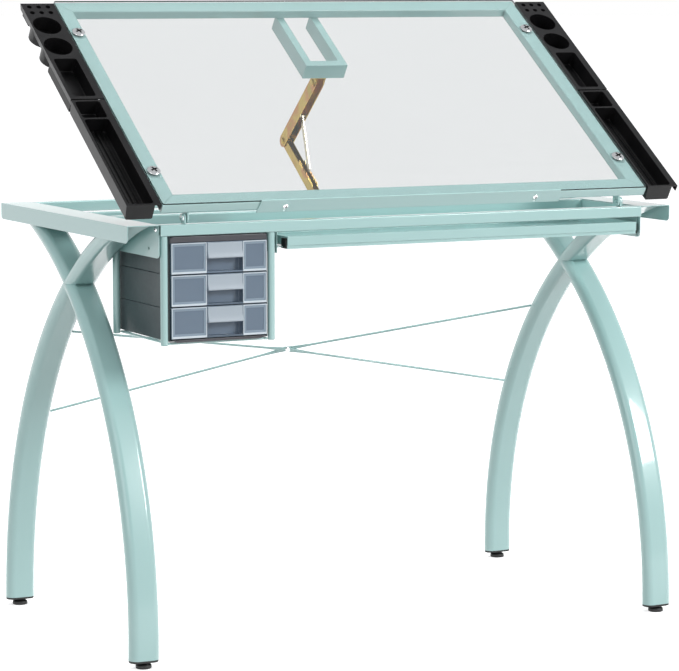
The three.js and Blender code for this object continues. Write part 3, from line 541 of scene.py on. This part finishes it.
# ---- Drawer rack ----
def rack_posts():
    for end in ENDS:
        for side in SIDES:
            node = f"rack_post_{end}_{side}"
            low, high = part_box(node)
            r = (high.x - low.x) / 2
            h = high.z - low.z
            profile = [(0, 0)] + [(r - inset, z) for inset, z in POST_FOOT] + [(r, h), (0, h)]
            at = Matrix.Translation((low.x + r, (low.y + high.y) / 2, low.z))
            post = made(f"finished_{node}", lathe_mesh(profile), at)
            dress(post, "base", "mint_paint", PAINT, node, bevel=0)


def round_top(x0, x1, z0, z1, r, steps=8):
    """A rectangle's outline with its two upper corners rounded."""
    outline = [(x0, z0), (x1, z0)]
    for x, start in ((x1 - r, 0), (x0 + r, math.pi / 2)):
        for k in range(steps + 1):
            a = start + math.pi / 2 * k / steps
            outline.append((x + r * math.cos(a), z1 - r + r * math.sin(a)))
    return outline


def cabinet():
    for level in LEVELS:
        coated(f"cabinet_shell_{level}", "base", "cabinet_plastic", CABINET_GREY, 0.0010)
    low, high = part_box("cabinet_shell_upper")
    front = low.y - TRIM["front"]
    x0, x1 = low.x + TRIM["inset"], high.x - TRIM["inset"]
    outline = round_top(x0, x1, high.z - TRIM["h"], high.z + TRIM["over"], TRIM["corner"])
    top = prism_mesh(outline, front, low.y + TRIM["back"])
    dress(made("cabinet_top_trim", top), "base", "cabinet_plastic", TRIM_BLACK, bevel=0.0030, segments=5)
    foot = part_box("cabinet_shell_lower")[0]
    skirt = [(foot.x + SKIRT["inset"], SKIRT["high"]), (high.x - SKIRT["inset"], SKIRT["high"])]
    skirt += [(high.x - SKIRT["taper"], SKIRT["low"]), (foot.x + SKIRT["taper"], SKIRT["low"])]
    base = prism_mesh(skirt, front - SKIRT["proud"], foot.y - SKIRT["gap"])
    dress(made("cabinet_bottom_trim", base), "base", "cabinet_plastic", TRIM_BLACK, bevel=0.0010)


# ---- Drawers: a tub, a front with two framed panels, and a grip between them ----
def drawer_face(node, x, front, z):
    low, high = z[0] + GRIP["low"], z[0] + GRIP["h"]
    face = made(f"{node}_front", box_mesh(*x, front, front + DRAWER["t"], *z))
    recess = (*GRIP["x"], front - PASS, front + PASS, low, high)
    boolean(face, [pocket_mesh(*recess, GRIP["corner"], GRIP["corner"])])
    dress(face, node, "drawer_plastic", PANEL, bevel=0.0006)


def drawer_rims(node, x, front, z):
    for label, a, b in (("left", x[0], GRIP["x"][0]), ("right", GRIP["x"][1], x[1])):
        for step, (out, inner, proud, finish) in enumerate(DRAWER_STEPS):
            reach = box_mesh(a + out, b - out, front - proud, front + RIM_SUNK, z[0] + out, z[1] - out)
            ring = made(f"{node}_rim_{label}_{step}", reach)
            low, high = z[0] + inner + RIM_LOW, z[1] - inner
            boolean(ring, [box_mesh(a + inner, b - inner, front - PASS, front + PASS, low, high)])
            dress(ring, node, "drawer_plastic", finish, bevel=0.0004, segments=3)


def drawer_flange(node, front, shelf_z, top_z):
    lip = [(front + y, shelf_z + z) for y, z in FLANGE_LOW] + [(front + y, top_z + z) for y, z in FLANGE_HIGH]
    ends = (GRIP["x"][0] + GRIP["gap"], GRIP["x"][1] - GRIP["gap"])
    flange = made(f"{node}_grip_flange", sweep_mesh([[(x, y, z) for y, z in lip] for x in ends]))
    dress(flange, node, "drawer_plastic", GRIP_CLEAR, bevel=0.0010, segments=3)


def drawer_tub(node, level, x, front, back, z0, shelf_z):
    g0, g1 = GRIP["x"]
    wall, inset = TUB["wall"], TUB["inset"]
    hollow = inset + wall
    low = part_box(f"cabinet_shell_{level}")[0].z + TUB["low"]
    high = low + TUB["h"]
    start = front + TUB["behind"]
    tub = made(f"{node}_tub", box_mesh(x[0] + inset, x[1] - inset, start, back, low, high))
    room = (x[0] + hollow, x[1] - hollow, start + wall, back - wall, low + wall, high + PASS)
    boolean(tub, [pocket_mesh(*room, TUB["corner"], wall)])
    deep = front + GRIP["d"]
    housing = (g0 - wall, g1 + wall, front, deep + wall, low + TUB_JOIN, shelf_z + wall)
    boolean(tub, [box_mesh(*housing)], "UNION")
    boolean(tub, [pocket_mesh(g0, g1, front - PASS, deep, z0 + GRIP["low"], shelf_z, wall, GRIP["corner"])])
    dress(tub, node, "drawer_plastic", PANEL, node, bevel=0.0005)


def drawer(level):
    node = f"drawer_{level}"
    low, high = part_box(node)
    front = low.y + DRAWER["front"]
    x = (low.x, low.x + DRAWER["w"])
    z0 = DRAWER["z"] + LEVELS.index(level) * DRAWER["pitch"]
    z = (z0, z0 + DRAWER["face"])
    shelf_z = z0 + GRIP["h"]
    drawer_face(node, x, front, z)
    drawer_rims(node, x, front, z)
    drawer_flange(node, front, shelf_z, z[1])
    drawer_tub(node, level, x, front, high.y, z0, shelf_z)


# ---- Pull-out tray ----
def slide_tray():
    coated("slide_tray", "slide_tray", bevel=0.0003)
    low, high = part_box("slide_tray")
    left = (low.x - TRAY_END["out"], low.x + TRAY_END["in"])
    right = (high.x - TRAY_END["in"], high.x + TRAY_END["out"])
    y0, y1 = low.y + TRAY_END["front"], low.y + TRAY_END["back"]
    z0, z1 = low.z + TRAY_END["low"], high.z - TRAY_END["high"]
    for name, (x0, x1) in (("left", left), ("right", right)):
        end = made(f"slide_tray_end_{name}", box_mesh(x0, x1, y0, y1, z0, z1))
        dress(end, "slide_tray", "tray_plastic", TRAY_BLACK, bevel=0.0012, segments=3)


# ---- Tilting top ----
def top_frame():
    for side in ("front", "back", "left", "right"):
        coated(f"top_rail_{side}", "top", bevel=0.0003)
    for side in SIDES:
        coated(f"hinge_lug_{side}", "top")
    coated("stay_bracket", "top", bevel=0.0009)


def glass():
    """Clear on both faces, and near black along its polished edges: their green tint darkened as painted
    shadow of the gap under the glass.
    """
    piece = coated("glass_panel", "top", "clear_glass", GLASS, 0.0004)
    piece.visible_shadow = False
    piece.data.materials.append(GLASS_EDGE_TINT_AND_SHADOW)
    # Edge faces take the green tint with its painted shadow
    for polygon in piece.data.polygons:
        if abs(polygon.normal.dot(NORMAL)) < GLASS_FACING:
            polygon.material_index = 1


def cross_head(name, at, body, radius, height, *nodes):
    """A domed screw head with a cross recess, on a flat seat at z = 0 of its own frame."""
    head = made(name, lathe_mesh([(radius * r, height * h) for r, h in HEAD_PROFILE], 40), at)
    slot = radius * CROSS["reach"]
    width = radius * CROSS["half"]
    depth = (height * CROSS["floor"], height * CROSS["past"])
    for tool in (box_mesh(-slot, slot, -width, width, *depth), box_mesh(-width, width, -slot, slot, *depth)):
        bmesh.ops.transform(tool, matrix=at, verts=tool.verts)
        boolean(head, [tool])
    dress(head, body, "chrome_screw", CHROME, *nodes, bevel=0)
    # The faces of the cross recess take the dark steel: painted shade where the cross sinks in
    head.data.materials.append(RECESS_PAINTED_SHADE)
    back = at.inverted()
    for polygon in head.data.polygons:
        spot = back @ polygon.center
        near, far = sorted((abs(spot.x), abs(spot.y)))
        if near < CROSS_SLACK["half"] * width and far < CROSS_SLACK["reach"] * slot:
            polygon.material_index = 1


def glass_screws():
    turn = Matrix.Rotation(GLASS_SCREW["turn"], 4, "Z")
    for side_name, side in SIDES.items():
        for end_name, y in GLASS_SCREW_Y.items():
            node = f"glass_screw_{end_name}_{side_name}"
            at = TOP @ Matrix.Translation((side * GLASS_SCREW["x"], y, GLASS_SCREW["lift"])) @ turn
            cross_head(f"finished_{node}", at, "top", GLASS_SCREW["r"], GLASS_SCREW["h"], node)


def side_bolts():
    """Bolt heads on the outer faces of the hinges and of the left side plate."""
    for side_name, side in SIDES.items():
        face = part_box(f"hinge_ear_{side_name}")[0 if side < 0 else 1].x - side * HINGE_BOLT["sunk"]
        place = Matrix.Translation((face, HINGE_BOLT["y"], HINGE_BOLT["z"]))
        at = place @ Matrix.Rotation(side * QUARTER, 4, "Y")
        cross_head(f"hinge_bolt_{side_name}", at, "base", HINGE_BOLT["r"], HINGE_BOLT["h"])
    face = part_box("side_plate_left")[0].x - PLATE_BOLT["lift"]
    place = Matrix.Translation((face, PLATE_BOLT["y"], PLATE_BOLT["z"]))
    at = place @ Matrix.Rotation(-QUARTER, 4, "Y")
    cross_head("side_plate_bolt", at, "base", PLATE_BOLT["r"], PLATE_BOLT["h"])


def pencil_ledge():
    """The ledge, and the two screws in the front rail that it slides on."""
    coated("pencil_ledge", "pencil_ledge", bevel=0.0005)
    face_turn = Matrix.Rotation(QUARTER, 4, "X")
    for side_name, side in SIDES.items():
        place = Matrix.Translation((side * LEDGE_SCREW["x"], LEDGE_SCREW["y"], LEDGE_SCREW["z"]))
        at = TOP @ place @ face_turn
        cross_head(f"ledge_screw_{side_name}", at, "top", LEDGE_SCREW["r"], LEDGE_SCREW["h"])


# ---- Side trays ----
def fillet(before, corner, after, r, steps=5):
    """Points of a rounded corner between two straight edges."""
    corner = Vector(corner)
    start = corner + (Vector(before) - corner).normalized() * r
    stop = corner + (Vector(after) - corner).normalized() * r
    points = []
    for k in range(steps + 1):
        share = k / steps
        points.append(tuple(start.lerp(corner, share).lerp(corner.lerp(stop, share), share)))
    return points

def tray_outline(depth):
    """Section of a side tray: a leaning bowl, and the lip and hook along its right edge."""
    t = TRAY
    low_left, low_right = (t["lean"], -depth), (t["w"] - t["lip"] + TRAY_DRAFT, -depth)
    under_lip = (t["w"] - t["lip"], -t["wall"])
    hook_in, hook_out = t["w"] - t["wall"], t["w"]
    outline = [(0, 0)] + fillet((0, 0), low_left, low_right, TRAY_CORNER)
    outline += fillet(low_left, low_right, under_lip, TRAY_CORNER)
    outline += [under_lip, (hook_in, -t["wall"]), (hook_in, -t["hook"])]
    outline += [(hook_out, -t["hook"]), (hook_out, 0)]
    return outline


def tray_frame(side, start):
    low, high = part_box(f"tray_lower_{side}")
    return TOP @ Matrix.Translation((low.x, start, 0))


def lower_tray(side):
    node = f"tray_lower_{side}"
    t, length, floor = TRAY, LOWER_TRAY["length"], TRAY["wall"] - TRAY["depth"]
    x0, x1 = t["wall"] + t["lean"], t["w"] - t["lip"] - t["wall"] + WELL_SIDES["right"]
    tray = made(f"finished_{node}", prism_mesh(tray_outline(t["depth"]), 0, length))
    for y0, y1 in (LOWER_TRAY["cup"], LOWER_TRAY["well"]):
        pocket = (x0 - WELL_SIDES["left"], x1, y0, y1, floor, PASS)
        boolean(tray, [pocket_mesh(*pocket, POCKET["corner"], POCKET["floor"])])
    y0, y1 = LOWER_TRAY["well"][0] + RIB["gap"], LOWER_TRAY["well"][1] - RIB["gap"]
    for i in range(RIB["count"]):
        left = x0 + RIB["first"] + i * RIB["pitch"]
        rib = [(left + x, floor + z) for x, z in RIB_SECTION]
        boolean(tray, [prism_mesh(rib, y0, y1)], "UNION")
    tray.data.transform(tray_frame(side, LOWER_TRAY["start"]))
    dress(tray, node, "tray_plastic", TRAY_BLACK, node, bevel=0.0008, segments=3)


def cylinder_mesh(x, y, z0, z1, r, sides=48):
    bm = lathe_mesh([(0, z0), (r, z0), (r, z1), (0, z1)], sides)
    bmesh.ops.translate(bm, vec=(x, y, 0), verts=bm.verts)
    return bm


def upper_tray_blocks(tray):
    """Adds the outer walls of the compartment, the pen block and the cups under the deck."""
    t, join = TRAY, -DECK["join"]
    y0, y1 = UPPER_TRAY["compartment"]
    margin = UPPER_BLOCK["margin"]
    boolean(tray, [box_mesh(*UPPER_BLOCK["x"], y0 - margin, y1 + margin, -t["depth"], join)], "UNION")
    boolean(tray, [box_mesh(*PEN_BLOCK, -PENS["depth"] - t["wall"], join)], "UNION")
    for y in CUP["y"]:
        outer = CUP["r"] + CUP["wall"] - CUP["sunk"]
        boolean(tray, [cylinder_mesh(CUP["x"], y, -t["depth"], join, outer)], "UNION")


def upper_tray_pockets(tray):
    """Opens the cups, the pen holes and the compartment."""
    floor = TRAY["wall"] - TRAY["depth"]
    for y in CUP["y"]:
        boolean(tray, [cylinder_mesh(CUP["x"], y, floor, PASS, CUP["r"])])
    for y in PENS["y"]:
        for x in PENS["x"]:
            boolean(tray, [cylinder_mesh(x, y, -PENS["depth"], PASS, PENS["r"], PENS["sides"])])
    pocket = (*UPPER_TRAY["inside"], *UPPER_TRAY["compartment"], floor, PASS)
    boolean(tray, [pocket_mesh(*pocket, POCKET["corner"], POCKET["floor"])])


def upper_tray(side):
    node = f"tray_upper_{side}"
    t, wall, length = TRAY, TRAY["wall"], UPPER_TRAY["length"]
    tray = made(f"finished_{node}", prism_mesh(tray_outline(t["skirt"]), 0, length))
    x0, x1 = wall + DECK["left"], t["w"] - t["lip"] - wall
    boolean(tray, [box_mesh(x0, x1, wall, length - wall, -DECK["under"], -DECK["t"])])
    upper_tray_blocks(tray)
    room, past = HOOK_ROOM, HOOK_ROOM["past"]
    hook_x = t["w"] - wall
    boolean(tray, [box_mesh(hook_x - room["x"], hook_x, -past, length + past, -room["depth"], -wall)])
    upper_tray_pockets(tray)
    tray.data.transform(tray_frame(side, UPPER_TRAY["start"]))
    dress(tray, node, "tray_plastic", TRAY_BLACK, node, bevel=0.0007, segments=3)


# ---- Folding stay ----
def stay():
    coated("stay_lower_arm", "stay_lower_arm", "zinc_steel", ZINC, 0.0003)
    coated("stay_upper_arm", "stay_upper_arm", "zinc_steel", ZINC, 0.0005)
    coated("stay_pawl", "stay_pawl", "pawl_steel", PAWL_STEEL, 0.0003)
    coated("stay_foot", "base", "zinc_steel", ZINC, 0.0004)
    coated("stay_head", "top", "zinc_steel", ZINC, 0.0004)


# ---- Stage, camera and light ----
def stage():
    """A white floor that shows to the camera and in reflections, but throws no light up at the table."""
    bm = bmesh.new()
    bmesh.ops.create_grid(bm, x_segments=1, y_segments=1, size=FLOOR["size"])
    floor = made("floor", bm)
    material, nodes, links, bsdf = shader("studio_floor")
    tinted(nodes, links, bsdf, 2.0, (0.90, 0.90, 0.90), (0.93, 0.93, 0.93))
    bsdf.inputs["Roughness"].default_value = FLOOR["roughness"]
    bsdf.inputs["Emission Color"].default_value = (1, 1, 1, 1)
    bsdf.inputs["Emission Strength"].default_value = FLOOR["glow"]
    floor.data.materials.append(material)
    floor.visible_diffuse = False


def camera():
    data = bpy.data.cameras.new("camera")
    data.lens = CAMERA["lens"]
    data.clip_end = CAMERA["far"]
    eye = bpy.data.objects.new("camera", data)
    eye.location = CAMERA["at"]
    eye.rotation_euler = (math.radians(CAMERA["tilt"]), 0, math.radians(CAMERA["turn"]))
    bpy.context.scene.collection.objects.link(eye)
    bpy.context.scene.camera = eye


def lamp(name, location, target, size, watts, mirrored=True):
    data = bpy.data.lights.new(name, "AREA")
    data.shape = "RECTANGLE"
    data.size, data.size_y = size
    data.energy = watts
    light = bpy.data.objects.new(name, data)
    light.location = location
    light.visible_glossy = mirrored
    light.rotation_euler = (Vector(target) - Vector(location)).to_track_quat("-Z", "Y").to_euler()
    bpy.context.scene.collection.objects.link(light)


def light():
    """A sky that is brightest at the horizon, and three lamps."""
    world = bpy.data.worlds.new("studio")
    world.use_nodes = True
    nodes, links = world.node_tree.nodes, world.node_tree.links
    height = nodes.new("ShaderNodeSeparateXYZ")
    links.new(nodes.new("ShaderNodeTexCoord").outputs["Generated"], height.inputs["Vector"])
    level = nodes.new("ShaderNodeMapRange")
    level.inputs["From Min"].default_value = -1
    links.new(height.outputs["Z"], level.inputs["Value"])
    links.new(ramp(nodes, links, level.outputs["Result"], SKY), nodes["Background"].inputs["Color"])
    nodes["Background"].inputs["Strength"].default_value = 1.0
    bpy.context.scene.world = world
    lamp("key", (2.8, -4.2, 3.0), (0, 0, 0.7), (1.6, 1.6), 165)
    lamp("fill", (-3.8, -2.8, 2.4), (0, 0, 0.6), (2.5, 2.5), 26)
    lamp("overhead", (0, 0.3, 4.0), (0, 0, 0.8), (2.4, 1.6), 105, mirrored=False)
    bpy.context.scene.view_settings.view_transform = "Standard"


base_frame()
legs()
levelers()
brace_rods()
rack_posts()
cabinet()
for level in LEVELS:
    drawer(level)
slide_tray()
top_frame()
glass()
glass_screws()
side_bolts()
pencil_ledge()
for side in SIDES:
    lower_tray(side)
    upper_tray(side)
stay()
stage()
camera()
light()
